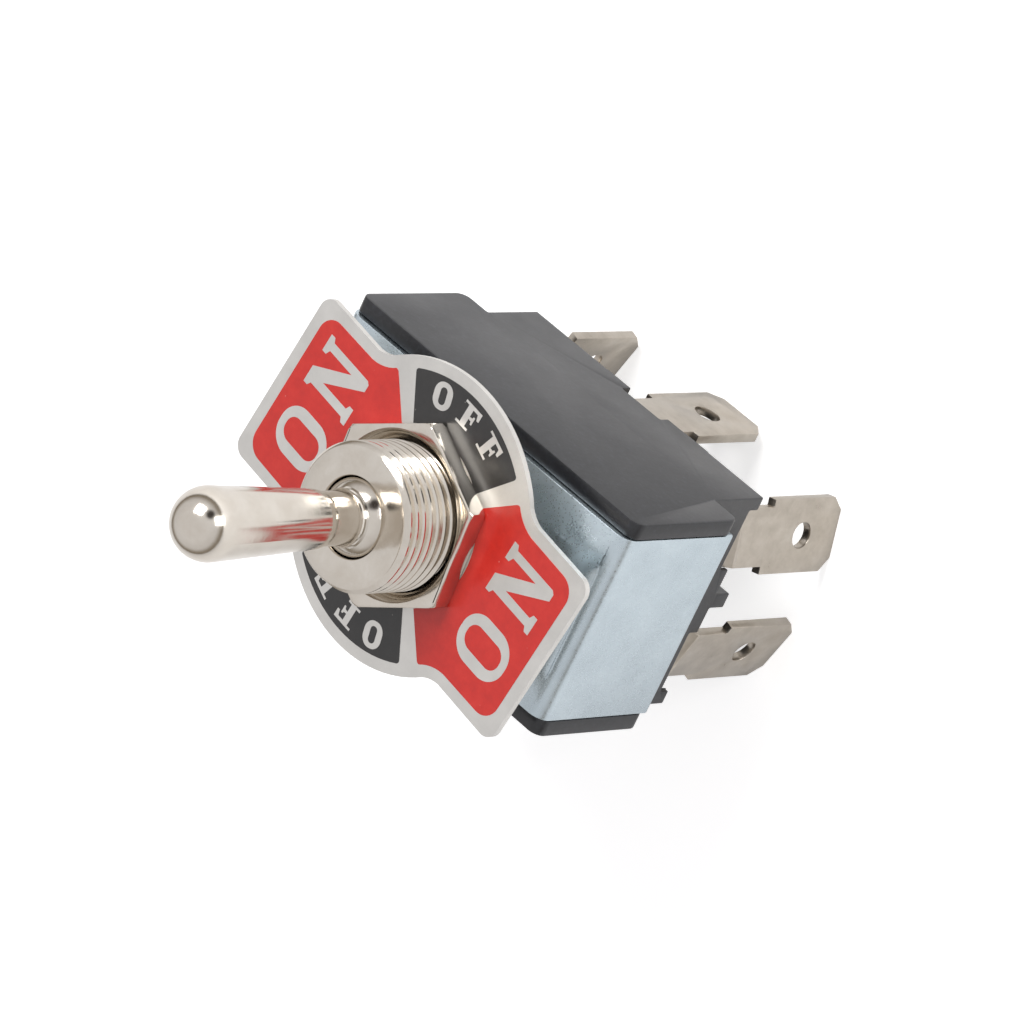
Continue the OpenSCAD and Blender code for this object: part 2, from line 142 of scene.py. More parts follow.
def moulded_phenolic():
    """Black phenolic, compression moulded: a faint wood-flour mottle in a dull skin that
    still takes the light at a low angle."""
    made, tree, shader = finish("moulded_phenolic", {"IOR": 1.55})
    place = node(tree, "ShaderNodeTexCoord").outputs["Object"]
    flour = node(tree, "ShaderNodeTexNoise",
                 {"Vector": place, "Scale": grain(0.45), "Detail": 4, "Roughness": 0.7})
    flow = node(tree, "ShaderNodeTexNoise",
                {"Vector": place, "Scale": grain(6), "Detail": 3, "Distortion": 0.6})
    mottle = ramp(tree, flour.outputs["Fac"], [(0.35, "#121216"), (0.55, "#191A1E"), (0.74, "#292A30")])
    tree.links.new(mottle, shader.inputs["Base Color"])
    tree.links.new(spread(tree, flow.outputs["Fac"], 0.24, 0.46), shader.inputs["Roughness"])
    skin = node(tree, "ShaderNodeBump", {"Height": flour.outputs["Fac"], "Strength": 0.25,
                                         "Distance": mm(0.03)})
    tree.links.new(skin.outputs["Normal"], shader.inputs["Normal"])
    return made


def zinc_plated_steel():
    """Cold-rolled steel with bright zinc and a blue passivate: fine crystals under a soft
    sheen, with the drawing of the rolls along X."""
    made, tree, shader = finish("zinc_plated_steel", {"Metallic": 1.0})
    place = node(tree, "ShaderNodeTexCoord").outputs["Object"]
    crystals = node(tree, "ShaderNodeTexVoronoi", {"Vector": place, "Scale": grain(0.22)})
    cloud = node(tree, "ShaderNodeTexNoise",
                 {"Vector": place, "Scale": grain(3.5), "Detail": 5, "Roughness": 0.6})
    rolled = node(tree, "ShaderNodeMapping", {"Vector": place, "Scale": (0.06, 1, 1)})
    rolls = node(tree, "ShaderNodeTexNoise",
                 {"Vector": rolled.outputs["Vector"], "Scale": grain(0.18), "Detail": 3})
    tint = ramp(tree, cloud.outputs["Fac"], [(0.3, "#BAC6CD"), (0.55, "#C2CED5"), (0.8, "#CBD7DD")])
    tree.links.new(tint, shader.inputs["Base Color"])
    sheen = node(tree, "ShaderNodeMath", {0: crystals.outputs["Distance"], 1: cloud.outputs["Fac"]},
                 operation="MULTIPLY_ADD")
    sheen.inputs[2].default_value = 0.12
    tree.links.new(spread(tree, sheen.outputs["Value"], 0.2, 0.48), shader.inputs["Roughness"])
    skin = node(tree, "ShaderNodeBump", {"Height": crystals.outputs["Distance"], "Strength": 0.3,
                                         "Distance": mm(0.012)})
    lines = node(tree, "ShaderNodeBump",
                 {"Height": rolls.outputs["Fac"], "Strength": 0.3, "Distance": mm(0.012),
                  "Normal": skin.outputs["Normal"]})
    tree.links.new(lines.outputs["Normal"], shader.inputs["Normal"])
    return made


def bright_nickel():
    """Bright nickel on turned brass: a warm mirror with faint tool waves and smears."""
    made, tree, shader = finish("bright_nickel", {"Metallic": 1.0})
    place = node(tree, "ShaderNodeTexCoord").outputs["Object"]
    smear = node(tree, "ShaderNodeTexNoise",
                 {"Vector": place, "Scale": grain(2.8), "Detail": 5, "Roughness": 0.62, "Distortion": 0.4})
    turned = node(tree, "ShaderNodeMapping", {"Vector": place, "Scale": (0.25, 0.25, 1)})
    waves = node(tree, "ShaderNodeTexNoise",
                 {"Vector": turned.outputs["Vector"], "Scale": grain(0.35), "Detail": 2})
    tint = ramp(tree, smear.outputs["Fac"], [(0.3, "#CFC7BC"), (0.7, "#DDD7CE")])
    tree.links.new(tint, shader.inputs["Base Color"])
    tree.links.new(spread(tree, smear.outputs["Fac"], 0.07, 0.2), shader.inputs["Roughness"])
    skin = node(tree, "ShaderNodeBump", {"Height": waves.outputs["Fac"], "Strength": 0.25,
                                         "Distance": mm(0.01)})
    tree.links.new(skin.outputs["Normal"], shader.inputs["Normal"])
    return made


def satin_nickel():
    """Nickel on rolled brass strip, blanked and tinned by use: satin, with lengthwise
    rolling lines and duller patches."""
    made, tree, shader = finish("satin_nickel", {"Metallic": 1.0})
    place = node(tree, "ShaderNodeTexCoord").outputs["Object"]
    drawn = node(tree, "ShaderNodeMapping", {"Vector": place, "Scale": (1, 1, 0.07)})
    lines = node(tree, "ShaderNodeTexNoise",
                 {"Vector": drawn.outputs["Vector"], "Scale": grain(0.2), "Detail": 3})
    patch = node(tree, "ShaderNodeTexNoise",
                 {"Vector": place, "Scale": grain(2.2), "Detail": 5, "Roughness": 0.65})
    tint = ramp(tree, patch.outputs["Fac"], [(0.3, "#ABA398"), (0.55, "#BCB4A9"), (0.8, "#CAC3BA")])
    tree.links.new(tint, shader.inputs["Base Color"])
    tree.links.new(spread(tree, patch.outputs["Fac"], 0.2, 0.42), shader.inputs["Roughness"])
    skin = node(tree, "ShaderNodeBump", {"Height": lines.outputs["Fac"], "Strength": 0.35,
                                         "Distance": mm(0.012)})
    tree.links.new(skin.outputs["Normal"], shader.inputs["Normal"])
    return made


def spring_steel():
    """Zinc-plated spring steel, tumbled: an even grey sheen with small dents."""
    made, tree, shader = finish("spring_steel", {"Metallic": 1.0})
    place = node(tree, "ShaderNodeTexCoord").outputs["Object"]
    dents = node(tree, "ShaderNodeTexNoise", {"Vector": place, "Scale": grain(0.6), "Detail": 4})
    tint = ramp(tree, dents.outputs["Fac"], [(0.3, "#A8ACAF"), (0.75, "#C6CACD")])
    tree.links.new(tint, shader.inputs["Base Color"])
    tree.links.new(spread(tree, dents.outputs["Fac"], 0.22, 0.42), shader.inputs["Roughness"])
    skin = node(tree, "ShaderNodeBump", {"Height": dents.outputs["Fac"], "Strength": 0.3,
                                         "Distance": mm(0.02)})
    tree.links.new(skin.outputs["Normal"], shader.inputs["Normal"])
    return made


def anodised_aluminium():
    """Clear-anodised aluminium sheet, the bare ground of the indicator plate: silver and
    nearly matt, with a fine etched tooth."""
    made, tree, shader = finish("anodised_aluminium", {"Metallic": 1.0})
    place = node(tree, "ShaderNodeTexCoord").outputs["Object"]
    tooth = node(tree, "ShaderNodeTexNoise", {"Vector": place, "Scale": grain(0.16), "Detail": 2})
    wear = node(tree, "ShaderNodeTexNoise",
                {"Vector": place, "Scale": grain(4), "Detail": 6, "Roughness": 0.7})
    tint = ramp(tree, wear.outputs["Fac"], [(0.3, "#D2D0CC"), (0.7, "#E0DEDA")])
    tree.links.new(tint, shader.inputs["Base Color"])
    tree.links.new(spread(tree, wear.outputs["Fac"], 0.34, 0.52), shader.inputs["Roughness"])
    skin = node(tree, "ShaderNodeBump", {"Height": tooth.outputs["Fac"], "Strength": 0.25,
                                         "Distance": mm(0.012)})
    tree.links.new(skin.outputs["Normal"], shader.inputs["Normal"])
    return made


def screen_ink(name, low, mid, high, fleck):
    """Baked enamel, screen printed on the plate: a full, slightly uneven colour with
    pinholes where the metal winks through, under a glossy skin."""
    made, tree, shader = finish(name, {"IOR": 1.5, "Roughness": 0.3, "Coat Weight": 0.35,
                                       "Coat Roughness": 0.12})
    place = node(tree, "ShaderNodeTexCoord").outputs["Object"]
    cover = node(tree, "ShaderNodeTexNoise",
                 {"Vector": place, "Scale": grain(1.4), "Detail": 6, "Roughness": 0.7})
    holes = node(tree, "ShaderNodeTexVoronoi", {"Vector": place, "Scale": grain(0.9)})
    body = ramp(tree, cover.outputs["Fac"], [(0.3, low), (0.52, mid), (0.75, high)])
    near = node(tree, "ShaderNodeMapRange",
                {"Value": holes.outputs["Distance"], "From Min": 0.05, "From Max": 0.085, "To Min": 0.7,
                 "To Max": 0.0})
    patches = node(tree, "ShaderNodeTexNoise", {"Vector": place, "Scale": grain(2.3)})
    some = node(tree, "ShaderNodeMath", {0: patches.outputs["Fac"], 1: 0.58}, operation="GREATER_THAN")
    where = node(tree, "ShaderNodeMath", {0: near.outputs["Result"], 1: some.outputs["Value"]},
                 operation="MULTIPLY")
    mixed = node(tree, "ShaderNodeMix", {0: where.outputs["Value"], 6: body, 7: colour(fleck)},
                 data_type="RGBA")
    tree.links.new(mixed.outputs[2], shader.inputs["Base Color"])
    skin = node(tree, "ShaderNodeBump", {"Height": cover.outputs["Fac"], "Strength": 0.2,
                                         "Distance": mm(0.02)})
    tree.links.new(skin.outputs["Normal"], shader.inputs["Normal"])
    return made


def vulcanised_fibre():
    """Vulcanised fibre sheet: dense grey-brown paper with short fibres and no shine."""
    made, tree, shader = finish("vulcanised_fibre", {"Roughness": 0.7, "IOR": 1.45})
    place = node(tree, "ShaderNodeTexCoord").outputs["Object"]
    laid = node(tree, "ShaderNodeMapping", {"Vector": place, "Scale": (0.3, 1, 1)})
    fibres = node(tree, "ShaderNodeTexNoise",
                  {"Vector": laid.outputs["Vector"], "Scale": grain(0.2), "Detail": 4})
    tree.links.new(ramp(tree, fibres.outputs["Fac"], [(0.3, "#2C2826"), (0.7, "#4A433E")]),
                   shader.inputs["Base Color"])
    skin = node(tree, "ShaderNodeBump", {"Height": fibres.outputs["Fac"], "Strength": 0.4,
                                         "Distance": mm(0.03)})
    tree.links.new(skin.outputs["Normal"], shader.inputs["Normal"])
    return made


def moulded_nylon():
    """Natural nylon, injection moulded: milky white, waxy, light passing a little way in."""
    made, tree, shader = finish("moulded_nylon",
                                {"IOR": 1.53, "Subsurface Weight": 0.15, "Subsurface Scale": mm(0.6)})
    place = node(tree, "ShaderNodeTexCoord").outputs["Object"]
    flow = node(tree, "ShaderNodeTexNoise", {"Vector": place, "Scale": grain(1.6), "Detail": 4})
    tree.links.new(ramp(tree, flow.outputs["Fac"], [(0.3, "#DAD4C4"), (0.7, "#EFEBDF")]),
                   shader.inputs["Base Color"])
    tree.links.new(spread(tree, flow.outputs["Fac"], 0.35, 0.5), shader.inputs["Roughness"])
    return made


def rolled_copper():
    """Half-hard copper strip, blanked: warm, brushed by the rolls, a little tarnished."""
    made, tree, shader = finish("rolled_copper", {"Metallic": 1.0})
    place = node(tree, "ShaderNodeTexCoord").outputs["Object"]
    drawn = node(tree, "ShaderNodeMapping", {"Vector": place, "Scale": (0.08, 1, 1)})
    lines = node(tree, "ShaderNodeTexNoise",
                 {"Vector": drawn.outputs["Vector"], "Scale": grain(0.25), "Detail": 4})
    tree.links.new(ramp(tree, lines.outputs["Fac"], [(0.3, "#A9623F"), (0.7, "#D48F66")]),
                   shader.inputs["Base Color"])
    tree.links.new(spread(tree, lines.outputs["Fac"], 0.22, 0.4), shader.inputs["Roughness"])
    return made


def contact_silver():
    """Fine silver contact rivets: soft white metal, headed and lightly struck."""
    made, tree, shader = finish("contact_silver", {"Metallic": 1.0})
    place = node(tree, "ShaderNodeTexCoord").outputs["Object"]
    struck = node(tree, "ShaderNodeTexNoise", {"Vector": place, "Scale": grain(0.4), "Detail": 3})
    tree.links.new(ramp(tree, struck.outputs["Fac"], [(0.3, "#CFCDC6"), (0.7, "#EDEBE4")]),
                   shader.inputs["Base Color"])
    tree.links.new(spread(tree, struck.outputs["Fac"], 0.18, 0.34), shader.inputs["Roughness"])
    return made


# Ways of working on a mesh


def only(piece):
    """Leaves one object selected and active."""
    if bpy.context.object and bpy.context.object.mode != "OBJECT":
        bpy.ops.object.mode_set(mode="OBJECT")
    bpy.ops.object.select_all(action="DESELECT")
    piece.select_set(True)
    bpy.context.view_layer.objects.active = piece


def edit(piece, level="VERT"):
    """Opens one object in edit mode with nothing selected."""
    only(piece)
    bpy.ops.object.mode_set(mode="EDIT")
    bpy.ops.mesh.select_mode(type=level)
    bpy.ops.mesh.select_all(action="DESELECT")


def done():
    """Closes edit mode."""
    bpy.ops.object.mode_set(mode="OBJECT")


def pick(piece, level, test):
    """In edit mode, selects the verts, edges or faces that pass a test on their middle, in mm."""
    bpy.ops.mesh.select_mode(type=level)
    bpy.ops.mesh.select_all(action="DESELECT")
    mesh = bmesh.from_edit_mesh(piece.data)
    for item in {"VERT": mesh.verts, "EDGE": mesh.edges, "FACE": mesh.faces}[level]:
        if level == "VERT":
            middle = item.co * 1000
        elif level == "EDGE":
            middle = (item.verts[0].co + item.verts[1].co) * 500
        else:
            middle = item.calc_center_median() * 1000
        item.select_set(bool(test(middle, item)))
    mesh.select_flush_mode()
    bmesh.update_edit_mesh(piece.data)


def named(name):
    """The object just added, under its name, with its place put in its mesh."""
    piece = bpy.context.object
    piece.name = piece.data.name = name
    bpy.ops.object.transform_apply(location=True, rotation=True, scale=True)
    return piece


def modifier(piece, kind, **settings):
    """Adds one modifier and applies it."""
    only(piece)
    made = piece.modifiers.new(kind.title(), kind)
    for name, value in settings.items():
        setattr(made, name, value)
    bpy.ops.object.modifier_apply(modifier=made.name)


def cut_away(piece, tool):
    """Cuts a closed tool out of a closed piece and deletes the tool."""
    modifier(piece, "BOOLEAN", operation="DIFFERENCE", solver="EXACT", object=tool)
    bpy.data.objects.remove(tool)


def outline(name, points):
    """A flat face drawn in the XY plane by extruding one vertex from point to point."""
    bpy.ops.object.select_all(action="DESELECT")
    bpy.ops.mesh.primitive_plane_add(size=mm(1), location=mm(*points[0], 0))
    piece = named(name)
    edit(piece)
    bpy.ops.mesh.select_all(action="SELECT")
    bpy.ops.mesh.merge(type="CENTER")
    for before, after in zip(points, points[1:]):
        bpy.ops.mesh.extrude_region_move(TRANSFORM_OT_translate={"value": mm(after[0] - before[0],
                                                                             after[1] - before[1], 0)})
    bpy.ops.mesh.select_all(action="SELECT")
    bpy.ops.mesh.edge_face_add()
    done()
    return piece


def turned(name, points, steps=96):
    """A closed ring turned about Z from a profile of (radius, height) points."""
    bpy.ops.object.select_all(action="DESELECT")
    bpy.ops.mesh.primitive_plane_add(size=mm(1), location=mm(points[0][0], 0, points[0][1]))
    piece = named(name)
    edit(piece)
    bpy.ops.mesh.select_all(action="SELECT")
    bpy.ops.mesh.merge(type="CENTER")
    for before, after in zip(points, points[1:]):
        bpy.ops.mesh.extrude_region_move(TRANSFORM_OT_translate={"value": mm(after[0] - before[0], 0,
                                                                             after[1] - before[1])})
    bpy.ops.mesh.select_all(action="SELECT")
    bpy.ops.mesh.edge_face_add()
    bpy.ops.mesh.delete(type="ONLY_FACE")
    bpy.ops.mesh.select_all(action="SELECT")
    bpy.ops.mesh.spin(steps=steps, angle=math.tau, center=(0, 0, 0), axis=(0, 0, 1))
    bpy.ops.mesh.select_all(action="SELECT")
    bpy.ops.mesh.remove_doubles(threshold=mm(0.002))
    bpy.ops.mesh.normals_make_consistent(inside=False)
    done()
    return piece


def copy_of(cad_node, name):
    """A merged copy of a CAD node's mesh, with its flat triangles dissolved."""
    source = bpy.data.objects[cad_node]
    piece = bpy.data.objects.new(name, source.data.copy())
    piece.data.name = name
    bpy.context.scene.collection.objects.link(piece)
    edit(piece)
    bpy.ops.mesh.select_all(action="SELECT")
    bpy.ops.mesh.remove_doubles(threshold=mm(0.001))
    bpy.ops.mesh.customdata_custom_splitnormals_clear()
    bpy.ops.mesh.dissolve_limited(angle_limit=math.radians(0.4))
    done()
    return piece


def eased(piece, width):
    """Rounds every sharp edge by a small radius and smooths what lies between."""
    modifier(piece, "BEVEL", width=mm(width), segments=2, limit_method="ANGLE",
             angle_limit=math.radians(32), use_clamp_overlap=False, miter_outer="MITER_ARC")
    only(piece)
    bpy.ops.object.shade_smooth_by_angle(angle=math.radians(35))


def dress(piece, material, body="base"):
    """Gives a finished piece its material and its body."""
    piece.data.materials.clear()
    piece.data.materials.append(material)
    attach(piece, body)


# Pieces


def threaded_bushing():
    """The turned bushing with its thread cut the whole way down."""
    piece = turned("threaded_bushing", [
        (4.3, 30.3), (5.45, 30.3), (5.0, 30.7), (5.0, SEAT), (THREAD_R - 0.35, SEAT),
        (THREAD_R, SEAT + 0.35), (THREAD_R, FACE - 0.35), (THREAD_R - 0.3, FACE - 0.05),
        (THREAD_R - 0.4, FACE), (3.4, FACE), (3.32, FACE - 0.03), (3.27, FACE - 0.1), (3.25, FACE - 0.24),
        (3.45, PIVOT + 1.71), (3.65, PIVOT + 1.22), (3.78, PIVOT + 0.73), (3.85, PIVOT), (4.3,
                                                                                          PIVOT - 4.4)])
    # One turn of the V groove between two crests, flat at its root
    root, out = 5.47, THREAD_R + 0.04
    bpy.ops.object.select_all(action="DESELECT")
    bpy.ops.mesh.primitive_plane_add(size=mm(1), location=mm((root + out) / 2, 0, SEAT - 0.8),
                                     rotation=(math.pi / 2, 0, 0))
    groove = named("groove")
    edit(groove)
    bpy.ops.mesh.select_all(action="SELECT")
    bpy.ops.transform.resize(value=(out - root, 1, 0.7))
    pick(groove, "VERT", lambda at, v: at.x < (root + out) / 2)
    bpy.ops.transform.resize(value=(1, 1, 0.18))
    pick(groove, "FACE", lambda at, f: True)
    bpy.ops.mesh.delete(type="ONLY_FACE")
    done()
    modifier(groove, "SCREW", axis="Z", angle=math.tau, screw_offset=mm(THREAD_PITCH), iterations=15,
             steps=80, render_steps=80, use_merge_vertices=False)
    edit(groove, "EDGE")
    bpy.ops.mesh.select_non_manifold()
    bpy.ops.mesh.fill()
    bpy.ops.mesh.select_all(action="SELECT")
    bpy.ops.mesh.normals_make_consistent(inside=False)
    done()
    cut_away(piece, groove)
    only(piece)
    bpy.ops.object.shade_smooth_by_angle(angle=math.radians(28))
    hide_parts("bushing")
    dress(piece, FINISHES["nickel"])
    return piece


def plate_place(rise):
    """The plate's own frame: turned about the bushing, slipped along itself, `rise` above its front."""
    slip = Matrix.Translation(mm(PLATE_SLIP, 0, 0)) @ Matrix.Translation(mm(0, 0, PLATE_FRONT + rise))
    return Matrix.Rotation(math.radians(PLATE_TURN), 4, "Z") @ slip


def is_corner(vert):
    """True where the outline of a flat face turns by more than 30 degrees."""
    before, after = [edge.other_vert(vert).co - vert.co for edge in vert.link_edges if edge.is_boundary][:2]
    return before.angle(-after) > math.radians(30)


def printed_fields():
    """The red ends and black sectors, printed on the plate inside a bare border."""
    turn = plate_place(0)
    fields = copy_of("indicator_plate", "red_fields")
    edit(fields, "FACE")
    pick(fields, "FACE", lambda at, f: f.normal.z < 0.9)
    bpy.ops.mesh.delete(type="FACE")
    bpy.ops.mesh.select_all(action="SELECT")
    bpy.ops.mesh.dissolve_limited(angle_limit=math.radians(0.4))
    bpy.ops.mesh.select_all(action="SELECT")
    bpy.ops.mesh.inset(thickness=mm(BORDER), use_boundary=True, use_even_offset=True)
    bpy.ops.mesh.select_all(action="INVERT")
    bpy.ops.mesh.delete(type="FACE")
    # The bare spokes lie between the red ends and the black sectors
    for spoke in (RED_EDGE, -RED_EDGE, BLACK_EDGE, -BLACK_EDGE):
        way = turn.to_3x3() @ Vector((-math.sin(math.radians(spoke)), math.cos(math.radians(spoke)), 0))
        bpy.ops.mesh.select_all(action="SELECT")
        bpy.ops.mesh.bisect(plane_co=turn.translation, plane_no=way)

    def on_plate(at):
        return turn.inverted() @ (Vector(at) * 0.001) * 1000

    def on_rim(at):
        flat = on_plate(at)
        return abs(flat.x) < 9.5 and math.hypot(flat.x, flat.y) > 11

    def from_end(at):
        flat = on_plate(at)
        return math.degrees(math.atan2(abs(flat.y), abs(flat.x)))

    pick(fields, "FACE", lambda at, f: RED_EDGE < from_end(at) < BLACK_EDGE)
    bpy.ops.mesh.delete(type="FACE")
    pick(fields, "FACE", lambda at, f: from_end(at) > 50)
    bpy.ops.mesh.separate(type="SELECTED")
    done()
    sectors = next(o for o in bpy.context.selected_objects if o is not fields)
    sectors.name = sectors.data.name = "black_sectors"
    for piece, ink in ((fields, "red_ink"), (sectors, "black_ink")):
        edit(piece)
        bpy.ops.mesh.select_all(action="SELECT")
        bpy.ops.mesh.dissolve_limited(angle_limit=math.radians(0.4))
        if piece is fields:
            # Both ends have broad round corners, drawn afresh inside the plate's own
            for x, y in ((-1, -1), (-1, 1), (1, -1), (1, 1)):
                pick(piece, "VERT", lambda at, v: on_plate(at).x * x > 15.2 and on_plate(at).y * y > 5.5)
                bpy.ops.mesh.merge(type="CENTER")
            pick(piece, "VERT", lambda at, v: abs(on_plate(at).x) > 15.2 and abs(on_plate(at).y) > 5.5)
            bpy.ops.mesh.bevel(offset=mm(1.55), segments=8, affect="VERTICES")
        pick(piece, "VERT", lambda at, v: on_rim(at) and is_corner(v))
        bpy.ops.mesh.bevel(offset=mm(0.3), segments=4, affect="VERTICES")
        done()
        modifier(piece, "SOLIDIFY", thickness=mm(INK_BUILD), offset=1)
        dress(piece, INKS[ink])


def letter_o(width, height, side, cap):
    """A round letter: two rounded outlines bridged."""
    rings = []
    for grow in (0, 1):
        w, h = width - 2 * side * grow, height - 2 * cap * grow
        bpy.ops.object.select_all(action="DESELECT")
        bpy.ops.mesh.primitive_plane_add(size=1)
        ring = named("letter_o")
        edit(ring)
        bpy.ops.mesh.select_all(action="SELECT")
        bpy.ops.transform.resize(value=mm(w, h, 1))
        bpy.ops.mesh.bevel(offset=mm(0.46 * w), segments=12, affect="VERTICES", profile=0.5)
        bpy.ops.mesh.select_all(action="SELECT")
        bpy.ops.mesh.delete(type="ONLY_FACE")
        done()
        rings.append(ring)
    only(rings[0])
    rings[1].select_set(True)
    bpy.ops.object.join()
    edit(rings[0], "EDGE")
    bpy.ops.mesh.select_all(action="SELECT")
    bpy.ops.mesh.bridge_edge_loops()
    done()
    return rings[0]


def letter_n(width, height):
    """A bold serif N, drawn about its middle."""
    w, h = width / 2, height / 2
    inner, stem, foot = 0.08 * width, 0.16 * width, 0.085 * height
    leg, serif, under = inner + stem, 0.34 * width, foot + 0.04 * height
    low_leg = -w + leg + 0.01 * width
    return outline("letter_n", [
        (-w, h), (-w + 0.33 * width, h), (w - leg, -h + 0.34 * height), (w - leg, h - under),
        (w - serif, h - foot), (w - serif, h), (w, h), (w, h - foot), (w - inner, h - under),
        (w - inner, -h + 0.05 * height), (w - inner - 0.05 * width, -h), (w - inner - 0.19 * width, -h),
        (low_leg, h - 0.31 * height), (low_leg, -h + under), (-w + serif, -h + foot), (-w + serif, -h),
        (-w, -h), (-w, -h + foot), (-w + inner, -h + under), (-w + inner, h - under), (-w, h - foot)])


def letter_f(width, height):
    """A bold serif F, drawn about its middle."""
    w, h = width / 2, height / 2
    foot, under, drop = 0.1 * height, 0.14 * height, 0.17 * height
    left, right = -w + 0.22 * width, -w + 0.52 * width
    arm, barb, tip = right + 0.14 * width, right + 0.18 * width, right + 0.26 * width
    heel = right + 0.2 * width
    return outline("letter_f", [
        (-w, h), (w, h), (w, h - 0.36 * height), (w - 0.12 * width, h - 0.36 * height),
        (w - 0.2 * width, h - under), (right, h - under), (right, 0.06 * height), (arm, 0.08 * height),
        (barb, drop), (tip, drop), (tip, -drop), (barb, -drop), (arm, -0.06 * height),
        (right, -0.04 * height), (right, -h + foot), (heel, -h + foot), (heel, -h), (-w, -h),
        (-w, -h + foot), (left, -h + foot), (left, h - foot), (-w, h - foot)])


def set_letters(name, letters, place, thickness, material):
    """Copies letters to (letter, x, y, turn) seats, lays them on a plane and joins them."""
    laid = []
    for pattern, x, y, turn in letters:
        piece = pattern.copy()
        piece.data = pattern.data.copy()
        bpy.context.scene.collection.objects.link(piece)
        only(piece)
        piece.matrix_world = place @ Matrix.Translation(mm(x, y, 0)) @ Matrix.Rotation(math.radians(turn),
                                                                                       4, "Z")
        bpy.ops.object.transform_apply(location=True, rotation=True, scale=True)
        laid.append(piece)
    only(laid[0])
    for piece in laid:
        piece.select_set(True)
    bpy.ops.object.join()
    laid[0].name = laid[0].data.name = name
    modifier(laid[0], "SOLIDIFY", thickness=mm(thickness), offset=0)
    dress(laid[0], material)
    return laid[0]


def lettering():
    """ON at both ends of the plate and OFF round its middle."""
    big_o, big_n = letter_o(4.3, 5.55, 1.06, 0.72), letter_n(4.75, 5.5)
    small_o, small_f = letter_o(1.95, 2.25, 0.62, 0.42), letter_f(2.0, 2.05)
    plate = plate_place(0.022)
    seats = []
    for end in (-1, 1):
        seats += [(big_o, 12.3 * end, -2.7, 90), (big_n, 12.3 * end, 3.4, 90)]
    for turn in (0, 180):
        for letter, lean in ((small_o, 18.3), (small_f, 0.5), (small_f, -17.5)):
            angle = math.radians(90 + turn + lean)
            reach = 10.0 if letter is small_f else 10.05
            seats.append((letter, reach * math.cos(angle), reach * math.sin(angle), turn + lean))
    set_letters("plate_lettering", seats, plate, LETTER_BUILD, FINISHES["printed_plate"])
    for pattern in (big_o, big_n, small_o, small_f):
        bpy.data.objects.remove(pattern)


def softened(cad_node, name, width, slot):
    """Replaces a CAD node by a copy whose sharp edges are rounded."""
    piece = copy_of(cad_node, name)
    eased(piece, width)
    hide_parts(cad_node)
    dress(piece, FINISHES[slot])
    return piece


# Stage


def floor():
    """A wide pale floor under the terminals. Seen straight or in a reflection it is
    white, and the soft shadow of the switch stays on it."""
    bpy.ops.object.select_all(action="DESELECT")
    bpy.ops.mesh.primitive_plane_add(size=6, location=(0, 0, -0.00002))
    piece = named("floor")
    made = bpy.data.materials.new("pale_floor")
    made.use_nodes = True
    tree = made.node_tree
    tree.nodes.clear()
    path = node(tree, "ShaderNodeLightPath")
    seen = node(tree, "ShaderNodeMath", {0: path.outputs["Is Camera Ray"],
                                         1: path.outputs["Is Transmission Ray"]}, operation="MAXIMUM")
    mirrored = node(tree, "ShaderNodeMath", {0: path.outputs["Is Glossy Ray"], 1: 0.27},
                    operation="MULTIPLY")
    lift = node(tree, "ShaderNodeMath", {0: seen.outputs["Value"], 1: 0.6, 2: mirrored.outputs["Value"]},
                operation="MULTIPLY_ADD")
    matt = node(tree, "ShaderNodeBsdfDiffuse", {"Color": colour("#E6E5E3")})
    glow = node(tree, "ShaderNodeEmission", {"Color": colour("#FFFFFF"), "Strength": lift.outputs["Value"]})
    both = node(tree, "ShaderNodeAddShader", {0: matt.outputs["BSDF"], 1: glow.outputs["Emission"]})
    node(tree, "ShaderNodeOutputMaterial", {"Surface": both.outputs["Shader"]})
    piece.data.materials.append(made)


def sky():
    """White all round for the camera; in reflections, a bright top, a darker warm band
    low down and a dark gap between the two softboxes."""
    world = bpy.data.worlds.new("studio")
    bpy.context.scene.world = world
    world.use_nodes = True
    tree = world.node_tree
    tree.nodes.clear()
    way = node(tree, "ShaderNodeTexCoord").outputs["Generated"]
    height = node(tree, "ShaderNodeSeparateXYZ", {"Vector": way}).outputs["Z"]
    band = ramp(tree, height, [(0.0, "#8C8375"), (0.10, "#9A9184"), (0.30, "#E4E2E2"), (0.7, "#F4F3F4")])
    gap = node(tree, "ShaderNodeVectorMath", {0: way, 1: Vector((0.32, 0.79, 0.52)).normalized()},
               operation="DISTANCE")
    shade = ramp(tree, gap.outputs["Value"], [(0.16, "#2A2118"), (0.30, "#FFFFFF")])
    glossy = node(tree, "ShaderNodeMix", {0: 1.0, 6: band, 7: shade}, data_type="RGBA",
                  blend_type="MULTIPLY")
    path = node(tree, "ShaderNodeLightPath")
    room = node(tree, "ShaderNodeBackground", {"Color": colour("#FBFAFF"), "Strength": 0.48})
    mirror = node(tree, "ShaderNodeBackground", {"Color": glossy.outputs[2], "Strength": 0.92})
    white = node(tree, "ShaderNodeBackground", {"Color": colour("#FFFFFF"), "Strength": 1.0})
    seen = node(tree, "ShaderNodeMath", {0: path.outputs["Is Camera Ray"],
                                         1: path.outputs["Is Transmission Ray"]}, operation="MAXIMUM")
    first = node(tree, "ShaderNodeMixShader",
                 {0: path.outputs["Is Glossy Ray"], 1: room.outputs["Background"],
                  2: mirror.outputs["Background"]})
    final = node(tree, "ShaderNodeMixShader",
                 {0: seen.outputs["Value"], 1: first.outputs["Shader"], 2: white.outputs["Background"]})
    node(tree, "ShaderNodeOutputWorld", {"Surface": final.outputs["Shader"]})


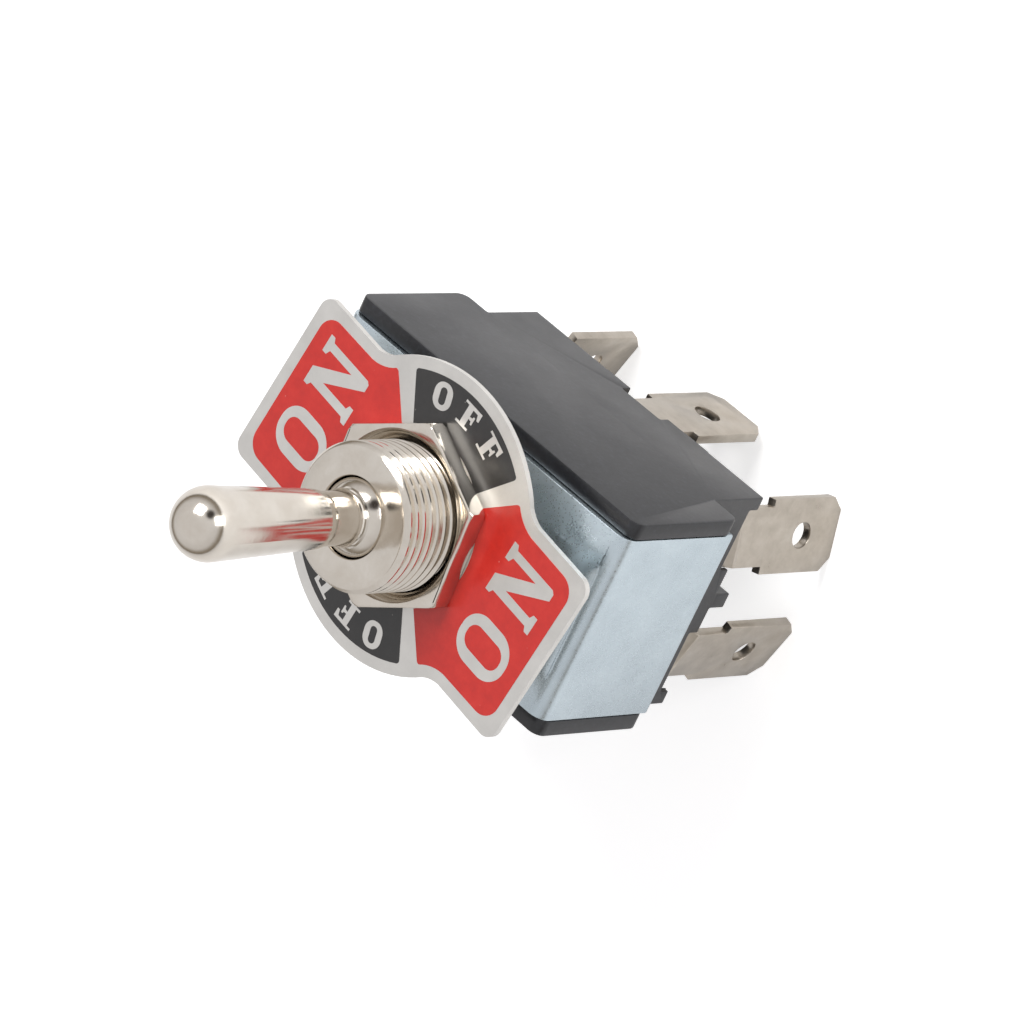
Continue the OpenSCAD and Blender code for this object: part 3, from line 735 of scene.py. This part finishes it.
def softbox(name, way, distance, size, power):
    """A square soft lamp in a direction from the switch, aimed at it."""
    lamp = bpy.data.lights.new(name, "AREA")
    lamp.shape = "RECTANGLE"
    lamp.size, lamp.size_y = size
    lamp.energy = power
    piece = bpy.data.objects.new(name, lamp)
    bpy.context.scene.collection.objects.link(piece)
    way = Vector(way).normalized()
    piece.location = way * distance + mm(0, 0, 35)
    piece.rotation_euler = way.to_track_quat("Z", "Y").to_euler()
    return piece


def camera():
    """The photographer's place, with the picture's roll about the line of sight."""
    view = bpy.data.cameras.new("camera")
    view.lens = 235.1
    view.sensor_width = 36
    view.clip_start = 0.01
    piece = bpy.data.objects.new("camera", view)
    bpy.context.scene.collection.objects.link(piece)
    place, aim = mm(282.28, 199.17, 423.41), mm(4.018, 2.649, 28.851)
    upright = (aim - place).to_track_quat("-Z", "Y").to_matrix().to_4x4()
    piece.matrix_world = Matrix.Translation(place) @ upright @ Matrix.Rotation(math.radians(-92.62), 4, "Z")
    bpy.context.scene.camera = piece


# Making

for start_object in list(bpy.data.objects):
    bpy.data.objects.remove(start_object)
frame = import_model()

camera()
sky()
softbox("key_softbox", (-0.21, 0.675, 0.707), 0.9, (0.42, 0.42), 5.4)
softbox("side_softbox", (0.74, 0.667, 0.18), 0.9, (0.34, 0.42), 3.9)
floor()

FINISHES = {
    "phenolic": moulded_phenolic(),
    "zinc_steel": zinc_plated_steel(),
    "fibre": vulcanised_fibre(),
    "nickel": bright_nickel(),
    "steel": spring_steel(),
    "printed_plate": anodised_aluminium(),
    "nylon": moulded_nylon(),
    "copper": rolled_copper(),
    "silver": contact_silver(),
    "tab_nickel": satin_nickel(),
}
INKS = {
    "red_ink": screen_ink("red_ink", "#C01A10", "#CB2014", "#D32B1F", "#DE8F86"),
    "black_ink": screen_ink("black_ink", "#191817", "#201E1D", "#292726", "#77746F"),
}
for cad_name in frame["nodes"]:
    cad = bpy.data.objects[cad_name]
    for seat in cad.material_slots:
        seat.material = FINISHES[seat.material.name.split(".")[0]]

threaded_bushing()
printed_fields()
lettering()
softened("housing", "housing_moulding", 0.12, "phenolic")
softened("bracket", "bracket_pressing", 0.1, "zinc_steel")
softened("hex_nuts", "nut_pair", 0.1, "nickel")
for side in ("left_terminal", "right_terminal", "common_terminal"):
    for pole in ("a", "b"):
        softened(f"{side}_{pole}", f"{side}_{pole}_tab", 0.07, "tab_nickel")

scene = bpy.context.scene
scene.view_settings.view_transform = "Standard"
